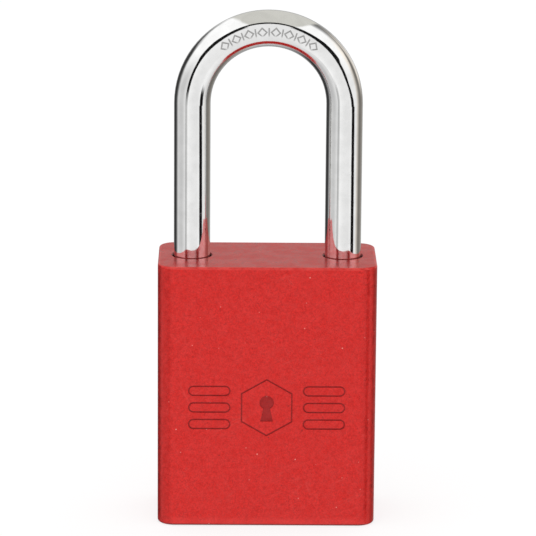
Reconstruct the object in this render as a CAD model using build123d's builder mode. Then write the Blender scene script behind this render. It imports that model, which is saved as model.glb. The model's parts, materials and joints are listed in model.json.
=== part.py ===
from build123d import *

import os
from math import atan2, cos, pi, radians, sin, sqrt

# A keyed safety padlock with a solid aluminium body, a steel shackle and a five-pin cylinder.
#
# Everything is in millimetres. The origin is the centre of the bottom face, +Z points up to the
# shackle, X runs across the width and Y through the thickness. The heel leg, which stays in the body,
# is at -X, and the toe leg, which comes out, is at +X.
#
# The lock is modelled closed with the plug turned to its unlocked position: both locking balls are
# drawn in, so the shackle is free to lift. A quarter turn of the plug to minus 90 degrees pushes the
# balls out into the notches of the legs.

INCH = 25.4

# Body: a solid block.
BODY_WIDTH = 1.5 * INCH
BODY_DEPTH = 0.75 * INCH
BODY_HEIGHT = 46.7
CORNER_RADIUS = 3.0
TOP_EDGE_RADIUS = 0.4
BOTTOM_EDGE_RADIUS = 0.5
BORE_EDGE = 0.2

# Shackle: one round bar, bent to a half circle.
BAR_RADIUS = 0.25 * INCH / 2
LEG_X = 13.2
CLEAR_HEIGHT = 37.1
BOW_RADIUS = LEG_X
BOW_Z = BODY_HEIGHT + CLEAR_HEIGHT + BAR_RADIUS - BOW_RADIUS
LEG_BORE_RADIUS = 3.4
LEG_END_CHAMFER = 0.8
TOE_END_Z = 32.6
HEEL_END_Z = 17.0
FLOOR_GAP = 1.2
TOE_FLOOR_Z = TOE_END_Z - FLOOR_GAP
HEEL_FLOOR_Z = HEEL_END_Z - FLOOR_GAP
SHACKLE_LIFT = 16.5

# Locking balls: where each centre is when drawn in and when pushed out.
BALL_RADIUS = 0.25 * INCH / 2
BALL_Z = 38.0
LOCKED_BITE = 1.6
HEEL_BITE = 0.7
TOE_GAP = 0.12
BALL_LOCKED_X = LEG_X - BAR_RADIUS + LOCKED_BITE - BALL_RADIUS
HEEL_BALL_X = LEG_X - BAR_RADIUS + HEEL_BITE - BALL_RADIUS
TOE_BALL_X = LEG_X - BAR_RADIUS - TOE_GAP - BALL_RADIUS
BALL_CHANNEL_RADIUS = BALL_RADIUS + 0.125
NOTCH_RADIUS = BALL_RADIUS + 0.1
GROOVE_Z = BALL_Z - SHACKLE_LIFT

# Five-pin cylinder, fitted into the body from below.
FACE_Z = 0.4
SHELL_RADIUS = 8.0
BIBLE_REACH = 16.4
BIBLE_WIDTH = 8.0
HOUSING_TOP_Z = 25.6
POCKET_CLEARANCE = 0.05
PLUG_RADIUS = 6.35
PLUG_CLEARANCE = 0.04
HEAD_RADIUS = 7.0
HEAD_TOP_Z = 1.6
PIN_COUNT = 5
PIN_PITCH = 3.6
FIRST_PIN_Z = 4.6
PIN_RADIUS = 1.4
CHAMBER_RADIUS = 1.45
CHAMBER_END_X = 15.3
PLUG_CHAMBER_Y = -1.0
COVER_WIDTH = 3.6
COVER_THICKNESS = 1.0
COVER_END_MARGIN = 2.2
KEY_PIN_LENGTHS = (4.1, 5.3, 3.6, 4.7, 5.9)
KEY_PIN_TOP = 6.27
DRIVER_START_X = PLUG_RADIUS + 0.03
DRIVER_LENGTH = 4.0
SPRING_WIRE_RADIUS = 0.16
SPRING_RADIUS = 1.1
SPRING_TURNS = 6
KEYWAY_TOP_Z = 22.4

# Plug tail, clip and tongue.
CLIP_THICKNESS = 0.7
CLIP_RADIUS = 7.3
CLIP_Z = HOUSING_TOP_Z + 0.1
CLIP_GROOVE_RADIUS = 5.5
TAIL_TOP_Z = 27.1
TAIL_RADIUS = 6.2
TONGUE_WIDTH = 2.6
TONGUE_LENGTH = 8.4
TONGUE_HEIGHT = 2.8

# Actuator: a cam that turns with the plug's tongue and drives the balls out.
CAM_CLEARANCE = 0.05
ACTUATOR_RADIUS = BALL_LOCKED_X - BALL_RADIUS - CAM_CLEARANCE
ACTUATOR_BASE_Z = TAIL_TOP_Z + 0.15
CAM_BASE_Z = BALL_Z - 3.6
ACTUATOR_TOP_Z = BALL_Z + 3.4
CHAMBER_ROOF_Z = ACTUATOR_TOP_Z + 0.3
LOWER_CHAMBER_TOP_Z = TAIL_TOP_Z + 0.2

# Screw that holds the cylinder, reached down the toe bore.
SCREW_RADIUS = 1.5
SCREW_HEAD_RADIUS = 2.6
SCREW_HEAD_HEIGHT = 2.0
SCREW_SEAT_Z = TOE_FLOOR_Z - SCREW_HEAD_HEIGHT - 0.2
SCREW_TIP_Z = 21.8

# Shallow engraving on the front face and stamping on the bow.
MARK_DEPTH = 0.15
MARK_LINE = 0.26
MARK_Z = 21.6
STAMP_DEPTH = 0.26
STAMP_LINE = 0.26
STAMP_CIRCLE = 13.0


def pin_heights():
    """The heights of the pin chambers above the bottom face."""
    return [FIRST_PIN_Z + PIN_PITCH * i for i in range(PIN_COUNT)]


def cylinder_outline(clearance=0.0):
    """The round shell with the lobe that holds the pin stacks, grown by a clearance."""
    with BuildSketch(Plane.XY) as outline:
        with Locations((0, 0)):
            Rectangle(
                BIBLE_REACH + clearance, BIBLE_WIDTH + 2 * clearance, align=(Align.MIN, Align.CENTER)
            )
        fillet(outline.vertices().group_by(Axis.X)[-1], 1.2)
        Circle(SHELL_RADIUS + clearance)
    return outline.sketch


def face_mark():
    """A plain mark for the front face: a keyhole in a hexagon between two stacks of outlined bars."""
    bar_length, bar_height, bar_step = 7.4, 1.9, 3.0
    bar_x = 10.0
    with BuildSketch(Plane.XZ.offset(BODY_DEPTH / 2)) as mark:
        with Locations((0, MARK_Z)):
            RegularPolygon(5.2, 6, rotation=30)
            RegularPolygon(5.2 - MARK_LINE * 1.15, 6, rotation=30, mode=Mode.SUBTRACT)
            with Locations((0, 0.9)):
                Circle(1.25)
            with Locations((0, -1.2)):
                Trapezoid(2.2, 2.6, 78)
            with GridLocations(2 * bar_x, bar_step, 2, 3):
                SlotOverall(bar_length, bar_height)
                SlotOverall(
                    bar_length - 2 * MARK_LINE, bar_height - 2 * MARK_LINE, mode=Mode.SUBTRACT
                )
    return mark.sketch


def make_lock_body():
    """The block with its leg bores, ball channel, cam chamber and cylinder pocket."""
    pocket = cylinder_outline(POCKET_CLEARANCE)
    mark = face_mark()
    with BuildPart() as lock_body:
        with BuildSketch(Plane.XY):
            RectangleRounded(BODY_WIDTH, BODY_DEPTH, CORNER_RADIUS)
        extrude(amount=BODY_HEIGHT)
        fillet(lock_body.faces().sort_by(Axis.Z)[-1].edges(), TOP_EDGE_RADIUS)
        fillet(lock_body.faces().sort_by(Axis.Z)[0].edges(), BOTTOM_EDGE_RADIUS)
        with Locations((-LEG_X, 0, BODY_HEIGHT)):
            Hole(LEG_BORE_RADIUS, BODY_HEIGHT - HEEL_FLOOR_Z)
        with Locations((LEG_X, 0, BODY_HEIGHT)):
            Hole(LEG_BORE_RADIUS, BODY_HEIGHT - TOE_FLOOR_Z)
        mouths = lock_body.edges().filter_by(GeomType.CIRCLE).filter_by(
            lambda edge: abs(edge.radius - LEG_BORE_RADIUS) < 1e-6
            and abs(edge.center().Z - BODY_HEIGHT) < 1e-6
        )
        chamfer(mouths, BORE_EDGE)
        with Locations((LEG_X, 0, TOE_FLOOR_Z)):
            CounterBoreHole(
                SCREW_RADIUS + 0.1,
                SCREW_HEAD_RADIUS + 0.15,
                TOE_FLOOR_Z - SCREW_SEAT_Z,
                depth=TOE_FLOOR_Z - HOUSING_TOP_Z,
            )
        with Locations(Location((0, 0, BALL_Z), (0, 90, 0))):
            Cylinder(BALL_CHANNEL_RADIUS, 2 * LEG_X, mode=Mode.SUBTRACT)
        with BuildSketch(Plane.XY):
            Circle(ACTUATOR_RADIUS + 0.17)
        extrude(amount=CHAMBER_ROOF_Z, mode=Mode.SUBTRACT)
        with BuildSketch(Plane.XY):
            Circle(CLIP_RADIUS + 0.2)
        extrude(amount=LOWER_CHAMBER_TOP_Z, mode=Mode.SUBTRACT)
        with BuildSketch(Plane.XY):
            add(pocket)
        extrude(amount=HOUSING_TOP_Z + POCKET_CLEARANCE, mode=Mode.SUBTRACT)
        extrude(mark, amount=MARK_DEPTH, dir=(0, 1, 0), mode=Mode.SUBTRACT)
    return lock_body.part


def stamped_marks():
    """A row of outlined diamonds with short radial bars between them, on the front of the bow."""
    diamonds, step = 8, 10.2
    start = 90 - step * (diamonds - 1) / 2
    span = step * (diamonds - 1)
    with BuildSketch(Plane.XZ.offset(BAR_RADIUS)) as marks:
        with Locations((0, BOW_Z)):
            with PolarLocations(STAMP_CIRCLE, diamonds, start, span, endpoint=True):
                RegularPolygon(0.95, 4)
                RegularPolygon(0.95 - STAMP_LINE * 1.4, 4, mode=Mode.SUBTRACT)
            with PolarLocations(
                STAMP_CIRCLE, diamonds - 1, start + step / 2, span - step, endpoint=True
            ):
                Rectangle(1.5, STAMP_LINE)
    return marks.sketch


def make_shackle():
    """The bent bar, its locking notches, the heel's lifting channel and its stop groove."""
    marks = stamped_marks()
    with BuildPart() as shackle:
        with BuildLine(Plane.XZ) as centreline:
            heel = Line((-LEG_X, HEEL_END_Z), (-LEG_X, BOW_Z))
            ThreePointArc(heel @ 1, (0, BOW_Z + BOW_RADIUS), (LEG_X, BOW_Z))
            Line((LEG_X, BOW_Z), (LEG_X, TOE_END_Z))
        with BuildSketch(Plane(origin=(-LEG_X, 0, HEEL_END_Z), z_dir=(0, 0, 1))):
            Circle(BAR_RADIUS)
        sweep(path=centreline.line)
        ends = shackle.faces().filter_by(GeomType.PLANE).filter_by(Axis.Z)
        chamfer(ends.edges(), LEG_END_CHAMFER)
        locked_centres = [
            (-BALL_LOCKED_X, 0, BALL_Z),
            (BALL_LOCKED_X, 0, BALL_Z),
            (-BALL_LOCKED_X, 0, GROOVE_Z),
        ]
        with Locations(*locked_centres):
            Sphere(NOTCH_RADIUS, mode=Mode.SUBTRACT)
        with Locations((-HEEL_BALL_X, 0, GROOVE_Z)):
            Cylinder(
                NOTCH_RADIUS,
                SHACKLE_LIFT,
                align=(Align.CENTER, Align.CENTER, Align.MIN),
                mode=Mode.SUBTRACT,
            )
        with Locations((-LEG_X, 0, GROOVE_Z)):
            Torus(LEG_X - HEEL_BALL_X, NOTCH_RADIUS, mode=Mode.SUBTRACT)
        extrude(marks, amount=STAMP_DEPTH, dir=(0, 1, 0), mode=Mode.SUBTRACT)
    return shackle.part


def make_ball(x):
    """A bearing ball on the cross channel's axis."""
    with BuildPart() as ball:
        with Locations((x, 0, BALL_Z)):
            Sphere(BALL_RADIUS)
    return ball.part


def cam_point(turn, ball_start, reach):
    """Where the cam's pocket wall is after a turn in radians: the ball's centre moves out along a
    spiral of constant rise per radian, and the wall lies one ball radius inside it."""
    rise = (BALL_LOCKED_X - ball_start) / (pi / 2)
    centre = ball_start + rise * turn
    slope = sqrt(centre**2 + rise**2)
    along, across = centre - reach * centre / slope, reach * rise / slope
    return (
        along * cos(turn) - across * sin(turn),
        along * sin(turn) + across * cos(turn),
    )


def cam_pocket(ball_start):
    """One pocket of the cam: a spiral wall, closed behind the ball by an arc and outside by lines."""
    reach = BALL_RADIUS + CAM_CLEARANCE
    wall = [cam_point(pi / 2 * i / 8, ball_start, reach) for i in range(9)]
    outside = 2 * ACTUATOR_RADIUS
    last = atan2(wall[-1][1], wall[-1][0])
    around = [(outside * cos(last * k / 3), outside * sin(last * k / 3)) for k in (3, 2, 1, 0)]
    with BuildSketch(Plane.XY) as pocket:
        with BuildLine():
            Spline(*wall)
            Polyline(wall[-1], *around, (outside, -reach), (ball_start, -reach))
            middle = radians(225)
            ThreePointArc(
                (ball_start, -reach),
                (ball_start + reach * cos(middle), reach * sin(middle)),
                wall[0],
            )
        make_face()
    return pocket.sketch


def make_actuator():
    """The cam cylinder: a slot below for the plug's tongue, two pockets above for the balls."""
    toe_pocket = cam_pocket(TOE_BALL_X)
    heel_pocket = cam_pocket(HEEL_BALL_X)
    with BuildPart() as actuator:
        with BuildSketch(Plane.XY.offset(ACTUATOR_BASE_Z)):
            Circle(ACTUATOR_RADIUS)
        extrude(amount=ACTUATOR_TOP_Z - ACTUATOR_BASE_Z)
        chamfer(actuator.faces().sort_by(Axis.Z)[-1].edges(), 0.3)
        with BuildSketch(Plane.XY.offset(CAM_BASE_Z)):
            add(toe_pocket)
            add(heel_pocket, rotation=180)
        extrude(amount=ACTUATOR_TOP_Z - CAM_BASE_Z, mode=Mode.SUBTRACT)
        with BuildSketch(Plane.XY.offset(ACTUATOR_BASE_Z)):
            Rectangle(TONGUE_LENGTH + 0.2, TONGUE_WIDTH + 0.1)
        extrude(amount=TONGUE_HEIGHT + 0.2, mode=Mode.SUBTRACT)
    return actuator.part


def make_cylinder_housing():
    """The brass shell: a bore for the plug, five chambers, a cover recess and the screw's hole."""
    outline = cylinder_outline()
    with BuildPart() as housing:
        with BuildSketch(Plane.XY.offset(FACE_Z)):
            add(outline)
        extrude(amount=HOUSING_TOP_Z - FACE_Z)
        chamfer(housing.faces().sort_by(Axis.Z)[0].edges(), 0.15)
        with Locations((0, 0, FACE_Z)):
            Cylinder(
                PLUG_RADIUS + PLUG_CLEARANCE,
                HOUSING_TOP_Z,
                align=(Align.CENTER, Align.CENTER, Align.MIN),
                mode=Mode.SUBTRACT,
            )
            Cylinder(
                HEAD_RADIUS + PLUG_CLEARANCE,
                HEAD_TOP_Z + 0.05 - FACE_Z,
                align=(Align.CENTER, Align.CENTER, Align.MIN),
                mode=Mode.SUBTRACT,
            )
        for height in pin_heights():
            with Locations(Location((0, 0, height), (0, 90, 0))):
                Cylinder(
                    CHAMBER_RADIUS,
                    BIBLE_REACH,
                    align=(Align.CENTER, Align.CENTER, Align.MIN),
                    mode=Mode.SUBTRACT,
                )
        with Locations((CHAMBER_END_X, 0, cover_middle())):
            Box(
                BIBLE_REACH - CHAMBER_END_X + 1,
                COVER_WIDTH + 0.04,
                cover_length() + 0.04,
                align=(Align.MIN, Align.CENTER, Align.CENTER),
                mode=Mode.SUBTRACT,
            )
        with Locations((LEG_X, 0, HOUSING_TOP_Z)):
            Hole(SCREW_RADIUS + 0.02, HOUSING_TOP_Z - SCREW_TIP_Z + 0.4)
    return housing.part


def cover_length():
    """The length of the strip that closes the chambers."""
    return PIN_PITCH * (PIN_COUNT - 1) + 2 * COVER_END_MARGIN


def cover_middle():
    """The height of the strip's middle."""
    return FIRST_PIN_Z + PIN_PITCH * (PIN_COUNT - 1) / 2


def make_chamber_cover():
    """The strip staked over the outer ends of the chambers."""
    with BuildPart() as cover:
        with Locations((CHAMBER_END_X + 0.02, 0, cover_middle())):
            Box(
                COVER_THICKNESS,
                COVER_WIDTH,
                cover_length(),
                align=(Align.MIN, Align.CENTER, Align.CENTER),
            )
        chamfer(cover.edges().filter_by(Axis.Z), 0.2)
    return cover.part


def keyway_outline():
    """The warded slot for the key, with the chambers' side at +Y."""
    right = [(0.6, -4.6), (0.6, -3.0), (1.15, -2.6), (1.15, -1.2), (0.45, -0.7), (0.45, 0.3)]
    right += [(1.1, 0.8), (1.1, 3.6)]
    left = [(-1.1, 3.6), (-1.1, 2.0), (-0.5, 1.5), (-0.5, 0.5), (-1.15, 0.0), (-1.15, -2.0)]
    left += [(-0.6, -2.4), (-0.6, -4.6)]
    with BuildSketch(Plane.XY.offset(FACE_Z)) as outline:
        with BuildLine():
            Polyline(*right, *left, close=True)
        make_face()
    return outline.sketch


def make_plug():
    """The plug: head, keyway, five chambers towards +Y, clip groove and driving tongue."""
    keyway = keyway_outline()
    steps = [
        (FACE_Z, HEAD_RADIUS, HEAD_TOP_Z),
        (HEAD_TOP_Z, PLUG_RADIUS, CLIP_Z - 0.05),
        (CLIP_Z - 0.05, CLIP_GROOVE_RADIUS, CLIP_Z + CLIP_THICKNESS + 0.05),
        (CLIP_Z + CLIP_THICKNESS + 0.05, TAIL_RADIUS, TAIL_TOP_Z),
    ]
    with BuildPart() as plug:
        for base, radius, top in steps:
            with BuildSketch(Plane.XY.offset(base)):
                Circle(radius)
            extrude(amount=top - base)
        with BuildSketch(Plane.XY.offset(TAIL_TOP_Z)):
            Rectangle(TONGUE_LENGTH, TONGUE_WIDTH)
        extrude(amount=TONGUE_HEIGHT)
        face_edge = plug.faces().sort_by(Axis.Z)[0].edges()
        chamfer(face_edge, 0.15)
        add(keyway)
        extrude(amount=KEYWAY_TOP_Z - FACE_Z, mode=Mode.SUBTRACT)
        with Locations((0, 0, FACE_Z)):
            Cone(
                2.6,
                1.4,
                0.5,
                align=(Align.CENTER, Align.CENTER, Align.MIN),
                mode=Mode.SUBTRACT,
            )
        for height in pin_heights():
            with Locations(Location((0, PLUG_CHAMBER_Y, height), (-90, 0, 0))):
                Cylinder(
                    CHAMBER_RADIUS,
                    PLUG_RADIUS - PLUG_CHAMBER_Y,
                    align=(Align.CENTER, Align.CENTER, Align.MIN),
                    mode=Mode.SUBTRACT,
                )
    return plug.part


def make_plug_clip():
    """The open ring that keeps the plug in the housing."""
    with BuildPart() as clip:
        with BuildSketch(Plane.XY.offset(CLIP_Z)):
            Circle(CLIP_RADIUS)
            Circle(CLIP_GROOVE_RADIUS + 0.06, mode=Mode.SUBTRACT)
            with Locations((0, -CLIP_RADIUS)):
                Rectangle(8.4, 7.4, mode=Mode.SUBTRACT)
        extrude(amount=CLIP_THICKNESS)
    return clip.part


def make_key_pin(height, length):
    """A key pin in the plug, its chamfered end at the shear line and its pointed end at the key."""
    tip = KEY_PIN_TOP - length
    with BuildPart() as pin:
        with BuildSketch(Plane.XY.offset(height)):
            with BuildLine():
                Polyline(
                    (0, KEY_PIN_TOP),
                    (1.0, KEY_PIN_TOP),
                    (PIN_RADIUS, KEY_PIN_TOP - 0.35),
                    (PIN_RADIUS, tip + 0.9),
                    (0.5, tip),
                    (0, tip),
                    close=True,
                )
            make_face()
        revolve(axis=Axis((0, 0, height), (0, 1, 0)))
    return pin.part


def make_driver_pin(height):
    """A spool-shaped driver pin, resting on the plug."""
    start, end = DRIVER_START_X, DRIVER_START_X + DRIVER_LENGTH
    with BuildPart() as pin:
        with BuildSketch(Plane.XY.offset(height)):
            with BuildLine():
                Polyline(
                    (start, 0),
                    (start, 1.25),
                    (start + 0.15, PIN_RADIUS),
                    (start + 0.75, PIN_RADIUS),
                    (start + 1.05, 1.0),
                    (start + 2.5, 1.0),
                    (start + 2.8, PIN_RADIUS),
                    (end - 0.15, PIN_RADIUS),
                    (end, 1.25),
                    (end, 0),
                    close=True,
                )
            make_face()
        revolve(axis=Axis((0, 0, height), (1, 0, 0)))
    return pin.part


def make_pin_spring(height):
    """The coil spring between a driver pin and the cover strip."""
    start = DRIVER_START_X + DRIVER_LENGTH + SPRING_WIRE_RADIUS + 0.02
    length = CHAMBER_END_X - SPRING_WIRE_RADIUS - 0.02 - start
    with BuildPart() as spring:
        with BuildLine() as coil:
            Helix(
                length / SPRING_TURNS,
                length,
                SPRING_RADIUS,
                center=(start, 0, height),
                direction=(1, 0, 0),
            )
        wire = coil.line
        with BuildSketch(Plane(origin=wire @ 0, z_dir=wire % 0)):
            Circle(SPRING_WIRE_RADIUS)
        sweep(path=wire, is_frenet=True)
    return spring.part


def make_cylinder_screw():
    """The screw that ties the cylinder to the body: socket head above, ridged shank below."""
    ridges = 8
    pitch = 0.5
    thread_top = SCREW_TIP_Z + ridges * pitch
    profile = [(0, SCREW_TIP_Z), (SCREW_RADIUS - 0.35, SCREW_TIP_Z)]
    for i in range(ridges):
        base = SCREW_TIP_Z + i * pitch
        profile += [(SCREW_RADIUS, base + pitch / 2), (SCREW_RADIUS - 0.3, base + pitch)]
    profile += [
        (SCREW_RADIUS, thread_top + 0.2),
        (SCREW_RADIUS, SCREW_SEAT_Z),
        (SCREW_HEAD_RADIUS, SCREW_SEAT_Z),
        (SCREW_HEAD_RADIUS, SCREW_SEAT_Z + SCREW_HEAD_HEIGHT - 0.3),
        (SCREW_HEAD_RADIUS - 0.3, SCREW_SEAT_Z + SCREW_HEAD_HEIGHT),
        (0, SCREW_SEAT_Z + SCREW_HEAD_HEIGHT),
    ]
    with BuildPart() as screw:
        with BuildSketch(Plane.XZ) as section:
            with BuildLine():
                Polyline(*[(LEG_X + x, z) for x, z in profile], close=True)
            make_face()
        revolve(axis=Axis((LEG_X, 0, 0), (0, 0, 1)))
        with BuildSketch(Plane.XY.offset(SCREW_SEAT_Z + SCREW_HEAD_HEIGHT)):
            with Locations((LEG_X, 0)):
                RegularPolygon(1.25, 6, major_radius=False)
        extrude(amount=-1.2, mode=Mode.SUBTRACT)
    return screw.part


def main():
    os.makedirs("parts", exist_ok=True)
    pieces = {
        "lock_body": make_lock_body(),
        "shackle": make_shackle(),
        "heel_ball": make_ball(-HEEL_BALL_X),
        "toe_ball": make_ball(TOE_BALL_X),
        "actuator": make_actuator(),
        "cylinder_housing": make_cylinder_housing(),
        "chamber_cover": make_chamber_cover(),
        "plug": make_plug(),
        "plug_clip": make_plug_clip(),
        "cylinder_screw": make_cylinder_screw(),
    }
    for number, height in enumerate(pin_heights(), start=1):
        pieces[f"key_pin_{number}"] = make_key_pin(height, KEY_PIN_LENGTHS[number - 1])
        pieces[f"driver_pin_{number}"] = make_driver_pin(height)
        pieces[f"pin_spring_{number}"] = make_pin_spring(height)
    for name, piece in pieces.items():
        piece.label = name
        export_step(piece, f"parts/{name}.step")


main()
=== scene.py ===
"""A keyed safety padlock with a red anodised body and a chromed shackle, on a pale studio floor.

Metres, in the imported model's own frame: origin under the middle of the body, +Z up, front at -Y.
"""

import json
from math import cos, degrees, pi, radians, sin

import bpy
from mathutils import Matrix, Vector

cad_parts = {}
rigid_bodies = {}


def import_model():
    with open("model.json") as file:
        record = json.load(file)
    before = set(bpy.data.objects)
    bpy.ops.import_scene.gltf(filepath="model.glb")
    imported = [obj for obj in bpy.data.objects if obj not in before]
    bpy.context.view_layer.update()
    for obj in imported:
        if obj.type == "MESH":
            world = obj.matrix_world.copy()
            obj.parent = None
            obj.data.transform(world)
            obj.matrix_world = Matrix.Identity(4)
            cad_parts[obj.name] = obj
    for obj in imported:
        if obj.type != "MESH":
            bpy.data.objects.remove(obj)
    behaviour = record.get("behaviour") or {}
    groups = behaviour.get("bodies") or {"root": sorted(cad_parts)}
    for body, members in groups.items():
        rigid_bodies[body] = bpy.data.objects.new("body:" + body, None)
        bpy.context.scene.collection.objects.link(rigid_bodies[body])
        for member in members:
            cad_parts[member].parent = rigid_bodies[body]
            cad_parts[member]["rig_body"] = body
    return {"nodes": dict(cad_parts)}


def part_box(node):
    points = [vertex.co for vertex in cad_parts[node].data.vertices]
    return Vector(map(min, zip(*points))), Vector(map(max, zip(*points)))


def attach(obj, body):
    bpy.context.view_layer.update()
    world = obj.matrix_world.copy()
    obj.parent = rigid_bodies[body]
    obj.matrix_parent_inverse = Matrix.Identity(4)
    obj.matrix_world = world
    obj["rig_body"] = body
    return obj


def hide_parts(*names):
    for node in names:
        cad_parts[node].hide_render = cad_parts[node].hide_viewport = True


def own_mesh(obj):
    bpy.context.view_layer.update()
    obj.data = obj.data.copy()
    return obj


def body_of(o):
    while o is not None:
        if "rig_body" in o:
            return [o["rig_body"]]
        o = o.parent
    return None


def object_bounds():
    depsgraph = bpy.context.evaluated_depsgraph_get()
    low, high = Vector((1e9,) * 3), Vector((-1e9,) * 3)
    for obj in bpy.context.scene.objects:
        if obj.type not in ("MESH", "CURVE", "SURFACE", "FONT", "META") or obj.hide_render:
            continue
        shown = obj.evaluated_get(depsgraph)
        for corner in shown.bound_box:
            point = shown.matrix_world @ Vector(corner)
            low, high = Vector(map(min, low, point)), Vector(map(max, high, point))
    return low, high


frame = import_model()
cad_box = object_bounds()
NODES = frame["nodes"]
MM = 0.001
BODY_LOW, BODY_HIGH = (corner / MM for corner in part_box("lock_body"))

# The shackle is a round bar bent to a half circle over two straight legs. Millimetres.
SHACKLE_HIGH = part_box("shackle")[1] / MM
BAR_RADIUS = SHACKLE_HIGH.y
BOW_RADIUS = SHACKLE_HIGH.x - BAR_RADIUS
BOW_CENTRE_Z = SHACKLE_HIGH.z - BAR_RADIUS - BOW_RADIUS


# ---------------------------------------------------------------- node helpers


class Nodes:
    """Adds and links nodes in the tree of a material or a world."""

    def __init__(self, owner):
        owner.use_nodes = True
        self.tree = owner.node_tree
        self.tree.nodes.clear()

    def add(self, kind, **settings):
        node = self.tree.nodes.new(kind)
        for key, value in settings.items():
            setattr(node, key, value)
        return node

    def link(self, source, target):
        self.tree.links.new(source, target)

    def feed(self, target, value):
        """Links a socket, or sets a plain value."""
        if isinstance(value, bpy.types.NodeSocket):
            self.link(value, target)
        else:
            target.default_value = value

    def position(self, stretch=(1, 1, 1)):
        """The place on the object in millimetres, squeezed along each axis by the stretch."""
        coords = self.add("ShaderNodeTexCoord").outputs["Object"]
        scale = self.add("ShaderNodeVectorMath", operation="MULTIPLY")
        self.link(coords, scale.inputs[0])
        scale.inputs[1].default_value = [1000 / s for s in stretch]
        return scale.outputs["Vector"]

    def axis(self, vector, letter):
        split = self.add("ShaderNodeSeparateXYZ")
        self.link(vector, split.inputs[0])
        return split.outputs[letter]

    def noise(self, vector, scale, detail=2.0, rough=0.5):
        node = self.add("ShaderNodeTexNoise")
        self.link(vector, node.inputs["Vector"])
        node.inputs["Scale"].default_value = scale
        node.inputs["Detail"].default_value = detail
        node.inputs["Roughness"].default_value = rough
        return node.outputs["Fac"]

    def cells(self, vector, scale):
        """The distance to the nearest of many scattered points."""
        node = self.add("ShaderNodeTexVoronoi")
        self.link(vector, node.inputs["Vector"])
        node.inputs["Scale"].default_value = scale
        return node.outputs["Distance"]

    def ramp(self, value, low, high, stops):
        """A colour ramp over a span of values, from pairs of a value and a brightness."""
        node = self.add("ShaderNodeValToRGB")
        self.link(self.span(value, low, high, smooth=False), node.inputs[0])
        marks = node.color_ramp.elements
        while len(marks) > 1:
            marks.remove(marks[-1])
        for i, (place, brightness) in enumerate(stops):
            where = (place - low) / (high - low)
            mark = marks[0] if i == 0 else marks.new(where)
            mark.position = where
            mark.color = (brightness, brightness, brightness, 1)
        return node.outputs["Color"]

    def math(self, operation, a, b=0.0, clamp=False):
        node = self.add("ShaderNodeMath", operation=operation, use_clamp=clamp)
        self.feed(node.inputs[0], a)
        self.feed(node.inputs[1], b)
        return node.outputs[0]

    def length(self, a, b):
        """The length of the hypotenuse over two sides."""
        squares = self.math("ADD", self.math("MULTIPLY", a, a), self.math("MULTIPLY", b, b))
        return self.math("SQRT", squares)

    def span(self, value, low, high, out_low=0.0, out_high=1.0, smooth=True):
        """Maps a value from one span to another and clamps it."""
        node = self.add("ShaderNodeMapRange", clamp=True)
        node.interpolation_type = "SMOOTHSTEP" if smooth else "LINEAR"
        self.feed(node.inputs["Value"], value)
        node.inputs["From Min"].default_value = low
        node.inputs["From Max"].default_value = high
        node.inputs["To Min"].default_value = out_low
        node.inputs["To Max"].default_value = out_high
        return node.outputs["Result"]

    def mix(self, factor, a, b, blend="MIX"):
        node = self.add("ShaderNodeMix", data_type="RGBA", blend_type=blend)
        self.feed(node.inputs[0], factor)
        self.feed(node.inputs[6], a if isinstance(a, bpy.types.NodeSocket) else (*a, 1))
        self.feed(node.inputs[7], b if isinstance(b, bpy.types.NodeSocket) else (*b, 1))
        return node.outputs[2]

    def bump(self, height, distance, strength=1.0, normal=None):
        """Bump whose height is in units of distance, in metres."""
        node = self.add("ShaderNodeBump")
        self.link(height, node.inputs["Height"])
        node.inputs["Distance"].default_value = distance
        node.inputs["Strength"].default_value = strength
        if normal is not None:
            self.link(normal, node.inputs["Normal"])
        return node.outputs["Normal"]

    def between(self, value, low, high, soft):
        """One inside a span of values and zero outside it."""
        rise = self.span(value, low - soft, low + soft)
        fall = self.span(value, high - soft, high + soft, 1.0, 0.0)
        return self.math("MULTIPLY", rise, fall)


class Material(Nodes):
    """A principled material, as the tree of nodes that makes it."""

    def __init__(self, name):
        self.material = bpy.data.materials.new(name)
        super().__init__(self.material)
        self.output = self.add("ShaderNodeOutputMaterial")
        self.shader = self.add("ShaderNodeBsdfPrincipled")
        self.link(self.shader.outputs["BSDF"], self.output.inputs["Surface"])

    def set(self, **values):
        """Sets the shader's own sockets, named with underscores for spaces."""
        for key, value in values.items():
            self.feed(self.shader.inputs[key.replace("_", " ")], value)


def scratches(n, position, angle, length, spacing, width):
    """Fine straight scratches: where a noise, stretched along a direction of the XZ plane, is near 0.5."""
    turn = n.add("ShaderNodeVectorRotate", rotation_type="Y_AXIS")
    n.link(position, turn.inputs["Vector"])
    turn.inputs["Angle"].default_value = radians(angle)
    squeeze = n.add("ShaderNodeVectorMath", operation="MULTIPLY")
    n.link(turn.outputs["Vector"], squeeze.inputs[0])
    squeeze.inputs[1].default_value = (1 / length, 1 / spacing, 1 / spacing)
    value = n.noise(squeeze.outputs["Vector"], 1.0, 1.0, 0.4)
    off_centre = n.math("ABSOLUTE", n.math("SUBTRACT", value, 0.5))
    return n.span(off_centre, 0.0, width, 1.0, 0.0)


# ---------------------------------------------------------------- materials


# The shades of the red finish.
RED = {
    "dark_grain": (0.51, 0.009, 0.007),
    "light_grain": (0.76, 0.019, 0.015),
    "cloud": (0.66, 0.018, 0.014),
    "light_powder": (0.90, 0.028, 0.022),
    "dark_powder": (0.36, 0.006, 0.005),
    "speck": (0.95, 0.42, 0.36),
    "pit": (0.12, 0.006, 0.006),
    "scratch": (0.86, 0.20, 0.17),
    # Painted light: the paler red of a painted highlight on the top edge and a painted floor reflection at
    # the foot.
    "painted_edge_light": (0.93, 0.09, 0.08),
    # Painted shade: the dark red painted along the bottom rim and in the bores.
    "painted_shade": (0.10, 0.006, 0.006),
    "groove": (0.24, 0.007, 0.008),
}


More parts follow.
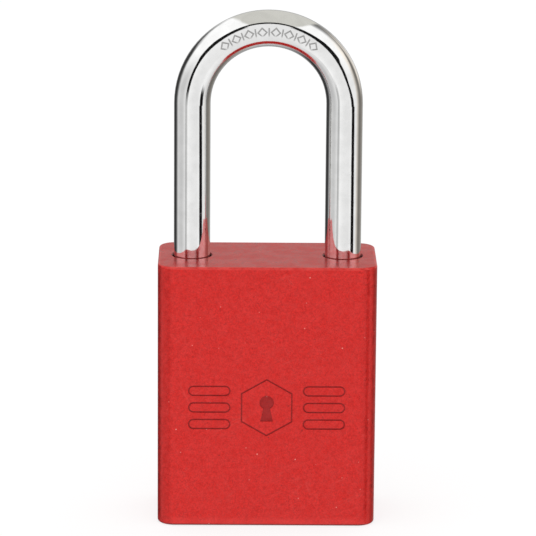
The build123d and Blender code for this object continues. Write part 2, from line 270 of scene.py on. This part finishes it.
def red_anodised():
    """Satin red anodising: fine mottling, light specks, dark pits, faint scratches, a painted highlight on
    the top edge, a painted floor reflection at the foot, painted shade along the bottom rim and in the
    bores, and darker engraved lines."""
    n = Material("red_anodised")
    at = n.position()
    x, y, z = (n.axis(at, letter) for letter in "XYZ")
    low, high = BODY_LOW, BODY_HIGH

    # The dye: two shades of red in a grain, slow clouds over it, and a fine powdery texture.
    grain = n.noise(at, 1.9, 4.0, 0.75)
    cloud = n.noise(at, 0.32, 3.0, 0.55)
    powder = n.noise(at, 5.0, 2.0, 0.7)
    colour = n.mix(n.span(grain, 0.30, 0.70), RED["dark_grain"], RED["light_grain"])
    colour = n.mix(n.span(cloud, 0.35, 0.68, 0.0, 0.5), colour, RED["cloud"])
    colour = n.mix(n.span(powder, 0.40, 0.70, 0.0, 0.30), colour, RED["light_powder"])
    colour = n.mix(n.span(powder, 0.30, 0.55, 0.28, 0.0), colour, RED["dark_powder"])

    # Light specks and dark pits, where a slow noise lets them show.
    cell = n.cells(at, 0.55)
    pick = n.noise(at, 0.8, 0.0)
    speck = n.math("MULTIPLY", n.span(cell, 0.03, 0.085, 1.0, 0.0), n.span(pick, 0.50, 0.58))
    colour = n.mix(n.math("MULTIPLY", speck, 0.75), colour, RED["speck"])
    pit_cell = n.cells(n.position((1.13, 1.13, 1.13)), 0.42)
    pit = n.math("MULTIPLY", n.span(pit_cell, 0.02, 0.07, 1.0, 0.0), n.span(pick, 0.3, 0.45, 1.0, 0.0))
    colour = n.mix(n.math("MULTIPLY", pit, 0.7), colour, RED["pit"])

    # Handling: sparse hair scratches.
    hair = n.math(
        "MAXIMUM",
        scratches(n, at, 24, 16.0, 1.6, 0.010),
        scratches(n, at, -58, 11.0, 1.9, 0.009),
    )
    hair = n.math("MULTIPLY", hair, n.span(n.noise(at, 0.11, 2.0), 0.5, 0.62))
    colour = n.mix(n.math("MULTIPLY", hair, 0.07), colour, RED["scratch"])

    # The top edge and the foot, paler red in patches: a painted highlight along the top edge and a painted
    # reflection of the floor at the foot.
    rim_width, top_width = 0.55, 0.30
    to_front = n.math("SUBTRACT", n.math("ABSOLUTE", y), high.y - rim_width)
    to_side = n.math("SUBTRACT", n.math("ABSOLUTE", x), high.x - rim_width)
    to_rim = n.math("MAXIMUM", to_front, to_side)
    to_top = n.math("SUBTRACT", z, high.z - top_width)
    painted_edge_light = n.math("MULTIPLY", n.span(to_rim, 0.0, 0.3), n.span(to_top, -0.25, 0.15, 0.0, 0.85))
    painted_foot_reflection = n.math("MULTIPLY", n.span(to_rim, -0.3, 0.3), n.span(z, low.z + 0.8, low.z + 1.9, 0.26, 0.0))
    patchy = n.span(n.noise(at, 0.55, 3.0, 0.7), 0.36, 0.62, 0.3, 1.0)
    rubbed_and_painted_light = n.math("MULTIPLY", n.math("MAXIMUM", painted_edge_light, painted_foot_reflection), patchy)
    colour = n.mix(rubbed_and_painted_light, colour, RED["painted_edge_light"])

    # Painted shade along the bottom rim, where the body meets the floor, and in the upper part of the
    # bores, round the legs.
    bore_shade_depth = 16.7
    painted_shade = n.math("MULTIPLY", n.span(to_rim, 0.0, 0.2), n.span(z, low.z + 0.25, low.z + 0.45, 0.8, 0.0))
    from_leg = n.length(n.math("SUBTRACT", n.math("ABSOLUTE", x), BOW_RADIUS), y)
    bore_shade = n.span(from_leg, BAR_RADIUS + 0.36, BAR_RADIUS + 0.46, 0.7, 0.0)
    bore_shade = n.math("MULTIPLY", bore_shade, n.span(z, high.z - bore_shade_depth, high.z - bore_shade_depth + 1))
    colour = n.mix(n.math("MAXIMUM", painted_shade, bore_shade), colour, RED["painted_shade"])

    # The engraved lines: points of the front face that lie below its surface.
    margin_x, margin_z = 3.4, 3.0
    groove = n.between(y, low.y + 0.05, low.y + 0.30, 0.02)
    flat_x = n.between(x, low.x + margin_x, high.x - margin_x, 0.1)
    flat_z = n.between(z, low.z + margin_z, high.z - margin_z, 0.1)
    groove = n.math("MULTIPLY", groove, n.math("MULTIPLY", flat_x, flat_z))
    colour = n.mix(n.math("MULTIPLY", groove, 0.6), colour, RED["groove"])

    rough = n.span(grain, 0.25, 0.75, 0.30, 0.42)
    rough = n.math("ADD", rough, n.span(cloud, 0.35, 0.65, -0.05, 0.06))
    rough = n.math("ADD", rough, n.math("MULTIPLY", groove, 0.2))
    metal = n.span(n.noise(at, 1.1, 3.0, 0.7), 0.3, 0.7, 0.58, 0.84)
    n.set(Base_Color=colour, Metallic=metal, Roughness=rough)
    n.set(Coat_Weight=0.32, Coat_Roughness=0.2, Coat_IOR=1.5)
    fine = n.bump(n.noise(at, 9.0, 2.0, 0.6), 0.004 * MM, 0.8)
    peel = n.bump(n.noise(at, 2.2, 3.0, 0.7), 0.012 * MM, 0.8, fine)
    n.set(Normal=n.bump(n.math("SUBTRACT", speck, hair), 0.006 * MM, 0.5, peel))
    return n.material


# The shades of the chrome.
CHROME = {
    "dull": (0.83, 0.83, 0.825),
    "bright": (0.90, 0.90, 0.895),
    "stamped": (0.16, 0.155, 0.15),
    "rubbed_and_painted_light": (0.50, 0.50, 0.52),
}


def chrome():
    """Bright chrome over a drawn bar: almost a mirror, with a slight waviness, hairline scratches, a dull
    inner side of the bow and dull grey at the bottom of the stamped lines."""
    n = Material("shackle_chrome")
    at = n.position()
    haze = n.noise(at, 0.5, 3.0, 0.6)
    fine = n.noise(n.position((1, 1, 4)), 3.0, 2.0, 0.6)
    colour = n.mix(n.span(haze, 0.3, 0.7), CHROME["dull"], CHROME["bright"])
    hair = scratches(n, at, 82, 9.0, 0.5, 0.012)
    hair = n.math("MULTIPLY", hair, n.span(n.noise(at, 0.21, 2.0), 0.48, 0.6))
    rough = n.span(fine, 0.3, 0.7, 0.035, 0.075)
    rough = n.math("ADD", rough, n.math("MULTIPLY", hair, 0.12))

    # The stamped lines: points of the bow that lie below the round surface of the bar.
    x, y, z = (n.axis(at, letter) for letter in "XYZ")
    rise = n.math("SUBTRACT", z, BOW_CENTRE_Z)
    from_centre = n.length(x, rise)
    from_bar = n.length(n.math("SUBTRACT", from_centre, BOW_RADIUS), y)
    stamped = n.span(from_bar, BAR_RADIUS - 0.20, BAR_RADIUS - 0.06, 1.0, 0.0)
    stamped = n.math("MULTIPLY", stamped, n.span(rise, 0.0, 1.0))
    colour = n.mix(n.math("MULTIPLY", stamped, 0.6), colour, CHROME["stamped"])
    rough = n.math("ADD", rough, n.math("MULTIPLY", stamped, 0.25))

    # The inner side of the bow, dulled in patches by what hangs in it.
    inner = n.math("DIVIDE", n.math("SUBTRACT", BOW_RADIUS, from_centre), BAR_RADIUS)
    rubbed_and_painted_light = n.math("MULTIPLY", n.span(inner, 0.45, 0.75), n.span(rise, 0.0, 2.0))
    rubbed_and_painted_light = n.math("MULTIPLY", rubbed_and_painted_light, n.span(haze, 0.3, 0.6, 0.6, 1.0))
    colour = n.mix(n.math("MULTIPLY", rubbed_and_painted_light, 0.45), colour, CHROME["rubbed_and_painted_light"])
    rough = n.math("ADD", rough, n.math("MULTIPLY", rubbed_and_painted_light, 0.10))

    n.set(Base_Color=colour, Metallic=1.0, Roughness=rough)
    wave = n.bump(n.noise(n.position((1, 1, 2.5)), 0.45, 1.0), 0.012 * MM, 0.7)
    n.set(Normal=n.bump(fine, 0.0012 * MM, 0.6, wave))
    return n.material


def brushed(name, dark, light, rough, lay=(1, 1, 1), depth=0.003):
    """Worked metal: a grain that follows the lay, uneven tint, and roughness that varies with it."""
    n = Material(name)
    at = n.position()
    along = n.noise(n.position(lay), 3.0, 3.0, 0.6)
    stain = n.noise(at, 0.45, 3.0, 0.6)
    colour = n.mix(n.span(along, 0.3, 0.7), dark, light)
    colour = n.mix(n.span(stain, 0.45, 0.72, 0.0, 0.45), colour, [c * 0.6 for c in dark])
    n.set(Base_Color=colour, Metallic=1.0, Roughness=n.span(along, 0.3, 0.7, rough - 0.06, rough + 0.08))
    n.set(Normal=n.bump(along, depth * MM, 0.8))
    return n.material


def turned(name, dark, light, rough, pitch=0.11):
    """Turned metal: fine rings about the Z axis on the faces, and a lay round the barrel."""
    n = Material(name)
    at = n.position()
    x, y, z = (n.axis(at, letter) for letter in "XYZ")
    radius = n.length(x, y)
    wobble = n.noise(at, 0.6, 1.0)
    ring = n.math("ADD", n.math("DIVIDE", radius, pitch), n.math("MULTIPLY", wobble, 1.5))
    ring = n.math("ADD", ring, n.math("DIVIDE", z, pitch))
    wave = n.math("SINE", n.math("MULTIPLY", ring, 2 * pi))
    grain = n.noise(at, 5.0, 3.0, 0.6)
    tone = n.math("ADD", n.math("MULTIPLY", n.span(wave, -1, 1), 0.5), n.math("MULTIPLY", grain, 0.5))
    stain = n.noise(at, 0.5, 3.0, 0.6)
    colour = n.mix(n.span(tone, 0.2, 0.8), dark, light)
    colour = n.mix(n.span(stain, 0.45, 0.72, 0.0, 0.5), colour, [c * 0.55 for c in dark])
    n.set(Base_Color=colour, Metallic=1.0, Roughness=n.span(tone, 0.2, 0.8, rough - 0.05, rough + 0.1))
    n.set(Normal=n.bump(tone, 0.006 * MM, 0.7))
    return n.material


def dress():
    """Gives every CAD node its material."""
    brass_dark, brass_light = (0.62, 0.43, 0.17), (0.86, 0.66, 0.32)
    steel_dark, steel_light = (0.34, 0.34, 0.35), (0.55, 0.55, 0.56)
    looks = {
        "lock_body": red_anodised(),
        "shackle": chrome(),
        "cylinder_housing": brushed("housing_brass", brass_dark, brass_light, 0.34, (1, 1, 8)),
        "chamber_cover": brushed("cover_brass", brass_dark, brass_light, 0.36, (8, 1, 1)),
        "plug": turned("plug_brass", (0.62, 0.46, 0.21), (0.92, 0.75, 0.42), 0.26, pitch=0.32),
        "plug_clip": brushed("clip_steel", (0.22, 0.22, 0.23), (0.42, 0.42, 0.43), 0.36),
        "actuator": turned("cam_steel", (0.24, 0.24, 0.25), (0.40, 0.40, 0.41), 0.40),
        "cylinder_screw": brushed("screw_steel", (0.05, 0.05, 0.055), (0.12, 0.12, 0.13), 0.42),
    }
    ball = brushed("ball_steel", (0.55, 0.55, 0.56), (0.72, 0.72, 0.73), 0.14, depth=0.001)
    pin = brushed("pin_brass", brass_dark, brass_light, 0.30, (1, 6, 1))
    driver = brushed("driver_steel", steel_dark, steel_light, 0.28, (6, 1, 1))
    wire = brushed("spring_wire", (0.30, 0.27, 0.21), (0.50, 0.47, 0.40), 0.30)
    for name, node in NODES.items():
        look = looks.get(name)
        if look is None:
            kind = name.rsplit("_", 1)[0]
            look = {"key_pin": pin, "driver_pin": driver, "pin_spring": wire}.get(kind, ball)
        node.data.materials.clear()
        node.data.materials.append(look)


def make_springs():
    """Stands a copy with its own mesh in for each CAD spring, on the body that carries it, and hides the
    CAD spring.
    """
    for name, node in NODES.items():
        if not name.startswith("pin_spring_"):
            continue
        number = name.rsplit("_", 1)[1]
        spring = bpy.data.objects.new(f"driver_spring_{number}", node.data.copy())
        bpy.context.collection.objects.link(spring)
        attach(spring, body_of(node)[0])
        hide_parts(name)
        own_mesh(spring)


# ---------------------------------------------------------------- stage


def make_floor():
    """A wide plain floor, white from above and clear from below."""
    n = Material("studio_floor")
    grain = n.noise(n.position(), 0.02, 2.0)
    n.set(Base_Color=n.mix(grain, (0.24, 0.24, 0.24), (0.26, 0.26, 0.26)), Roughness=0.9)
    n.set(Specular_IOR_Level=0.0, Emission_Color=(1, 1, 1, 1), Emission_Strength=0.76)
    clear = n.add("ShaderNodeBsdfTransparent")
    side = n.add("ShaderNodeNewGeometry").outputs["Backfacing"]
    choose = n.add("ShaderNodeMixShader")
    n.link(side, choose.inputs[0])
    n.link(n.shader.outputs["BSDF"], choose.inputs[1])
    n.link(clear.outputs["BSDF"], choose.inputs[2])
    n.link(choose.outputs[0], n.output.inputs["Surface"])
    mesh = bpy.data.meshes.new("floor")
    half, gap = 4.0, 0.05 * MM
    corners = [(-half, -half, 0), (half, -half, 0), (half, half, 0), (-half, half, 0)]
    mesh.from_pydata(corners, [], [(0, 1, 2, 3)])
    mesh.materials.append(n.material)
    floor = bpy.data.objects.new("floor", mesh)
    bpy.context.collection.objects.link(floor)
    floor.location.z = cad_box[0].z - gap
    floor.visible_glossy = False


# Brightness inside the tent's opening, by degrees from straight in front.
OPENING = [(-60, 1.1), (-38, 1.08), (-22, 0.97), (0, 0.90), (30, 0.89), (45, 1.0), (60, 1.0)]

# Brightness of the floor and walls outside it, below the horizon.
LOWER_RING = [
    (-180, 0.40),
    (-168, 0.38),
    (-156, 0.22),
    (-148, 0.05),
    (-124, 0.035),
    (-112, 0.20),
    (-104, 0.60),
    (-97, 0.74),
    (-82, 0.65),
    (-66, 0.64),
    (-50, 0.80),
    (60, 0.95),
    (80, 0.92),
    (90, 0.68),
    (97, 0.42),
    (108, 0.18),
    (127, 0.24),
    (142, 0.33),
    (157, 0.45),
    (180, 0.40),
]

# Brightness of the upper wall, from the right side round to the back.
RIGHT_WALL = [
    (60, 1.12),
    (98, 1.10),
    (108, 0.76),
    (120, 0.42),
    (132, 0.22),
    (150, 0.20),
    (164, 0.40),
    (180, 0.50),
]

# Half the width and the height of the seam round the opening, in degrees from straight in front.
SEAM_HALF_WIDTH = 38.0
SEAM_HEIGHT = 42.0

# The other shades of the tent.
TENT = {
    "floor_inside": (0.86, 0.86, 0.86),
    "floor_outside": (0.8, 0.8, 0.8),
    "lit_corner": (0.92, 0.92, 0.92),
    "ceiling": (0.67, 0.664, 0.62),
    "warm": (1.0, 0.93, 0.84),
    "seam": (0.008, 0.008, 0.008),
}


def make_world():
    """An even white room. Reflections see it as a light tent with a dark seam round its opening.

    Directions are split into degrees round from straight in front, positive to the right, and degrees
    up from the horizon. The seam is an arch: half an ellipse above the horizon and two sides below it.
    """
    world = bpy.data.worlds.new("studio")
    bpy.context.scene.world = world
    n = Nodes(world)
    way = n.add("ShaderNodeTexCoord").outputs["Generated"]
    x, y, z = (n.axis(way, letter) for letter in "XYZ")
    around = n.math("MULTIPLY", n.math("ARCTAN2", x, n.math("MULTIPLY", y, -1.0)), degrees(1))
    upward = n.math("MULTIPLY", n.math("ARCSINE", z), degrees(1))

    # The seam is thickest on its shoulders and thinnest over the top. Its right side spreads outwards on
    # the shoulder and below the horizon. The left side grows faint just below the horizon, and both fade
    # out further down.
    flare = n.math("MULTIPLY", n.between(upward, 15, 34, 4.0), 4.0)
    flare = n.math("ADD", n.span(upward, -14, 0, 22, 0, smooth=False), flare)
    spread = n.math("MULTIPLY", flare, n.span(around, -5, 5))
    side = n.math("DIVIDE", around, n.math("ADD", spread, SEAM_HALF_WIDTH))
    over = n.math("DIVIDE", n.math("MAXIMUM", upward, 0.0), SEAM_HEIGHT)
    arch = n.length(side, over)
    shoulder = n.math("MULTIPLY", n.between(upward, 15, 30, 4.0), 0.13)
    thickness = n.math("ADD", n.span(upward, 16, 38, 0.19, 0.12), shoulder)
    from_seam = n.math("DIVIDE", n.math("ABSOLUTE", n.math("SUBTRACT", arch, 0.98)), thickness)
    seam = n.span(from_seam, 0.8, 1.05, 1.0, 0.0)
    left_end = n.math("ADD", n.span(around, -20, -5), n.span(upward, -11, -3, 0.4, 1.0), clamp=True)
    seam = n.math("MULTIPLY", seam, n.math("MULTIPLY", left_end, n.span(upward, -27, -19)))

    # Inside the seam is the opening. Outside it is a ring of low walls with a lit corner, and above them
    # the upper wall and a ceiling panel, a straight strip from front to back that slopes down behind. Two
    # dark corners of the ring reach further up. The right side is a little warmer.
    opening = n.ramp(around, -60, 60, OPENING)
    opening = n.mix(n.span(upward, -60, -30, 1, 0), opening, TENT["floor_inside"])
    ring = n.ramp(around, -180, 180, LOWER_RING)
    lit_corner = n.math("MULTIPLY", n.between(around, 126, 158, 8.0), n.span(upward, -9, 4))
    ring = n.mix(lit_corner, ring, TENT["lit_corner"])
    ring = n.mix(n.span(upward, -75, -45, 1, 0), ring, TENT["floor_outside"])
    tilt = radians(13.5)
    height = n.math("ADD", n.math("MULTIPLY", y, sin(tilt)), n.math("MULTIPLY", z, cos(tilt)))
    across = n.math("DIVIDE", x, n.math("MAXIMUM", height, 0.0001))
    panel = n.between(across, -0.42, 0.62, 0.04)
    wall = n.ramp(around, 60, 180, RIGHT_WALL)
    top = n.mix(panel, wall, TENT["ceiling"])
    leaning = n.math("SUBTRACT", around, n.math("MAXIMUM", upward, 0.0))
    dark_corner = n.math("ADD", n.between(around, -160, -112, 6.0), n.between(leaning, 86, 116, 6.0))
    early, late = n.span(upward, 3, 28), n.span(upward, 18, 38)
    later = n.math("MULTIPLY", dark_corner, n.math("SUBTRACT", early, late))
    outside = n.mix(n.math("SUBTRACT", early, later), ring, top)
    warm = n.math("MULTIPLY", n.between(around, 84, 150, 10.0), n.span(upward, 25, 45, 1, 0))
    outside = n.mix(warm, outside, TENT["warm"], blend="MULTIPLY")
    tent = n.mix(n.span(arch, 0.96, 1.0), opening, outside)
    tent = n.mix(seam, tent, TENT["seam"])

    shown = n.add("ShaderNodeBackground")
    n.link(tent, shown.inputs["Color"])
    room = n.add("ShaderNodeBackground")
    room.inputs["Color"].default_value = (1, 1, 1, 1)
    choose = n.add("ShaderNodeMixShader")
    n.link(n.add("ShaderNodeLightPath").outputs["Is Glossy Ray"], choose.inputs[0])
    n.link(room.outputs[0], choose.inputs[1])
    n.link(shown.outputs[0], choose.inputs[2])
    n.link(choose.outputs[0], n.add("ShaderNodeOutputWorld").inputs["Surface"])


def make_light():
    """A large soft light above, a little to the front and the left, which reflections don't show."""
    data = bpy.data.lights.new("overhead", "AREA")
    data.shape = "DISK"
    data.size = 1.2
    data.energy = 1.6
    light = bpy.data.objects.new("overhead", data)
    bpy.context.collection.objects.link(light)
    light.location = (-0.25, -0.45, 1.1)
    light.rotation_euler = (-light.location).to_track_quat("-Z", "Y").to_euler()
    light.visible_glossy = False


def make_camera():
    """A long lens in front of the object and a little above it."""
    data = bpy.data.cameras.new("camera")
    data.sensor_width = 36.0
    data.lens = 247.5
    data.clip_start, data.clip_end = 0.01, 20.0
    camera = bpy.data.objects.new("camera", data)
    bpy.context.collection.objects.link(camera)
    bpy.context.scene.camera = camera
    heading, lift, roll, distance = radians(-0.571), radians(14.3), radians(-0.4525), 0.647
    turn = Matrix.Rotation(heading, 3, "Z")
    back = turn @ Vector((0, -cos(lift), sin(lift)))
    centre = Vector((0, 0, 0.040))
    camera.location = centre + back * distance
    aim = Vector((0.00014, 0, 0.04432))
    forward = (aim - camera.location).normalized()
    right = forward.cross(Vector((0, 0, 1))).normalized()
    up = right.cross(forward)
    across = right * cos(roll) - up * sin(roll)
    upright = right * sin(roll) + up * cos(roll)
    axes = Matrix((across, upright, -forward)).transposed()
    camera.rotation_mode = "QUATERNION"
    camera.rotation_quaternion = axes.to_quaternion()


dress()
make_springs()
make_floor()
make_world()
make_light()
make_camera()

scene = bpy.context.scene
scene.view_settings.view_transform = "Standard"
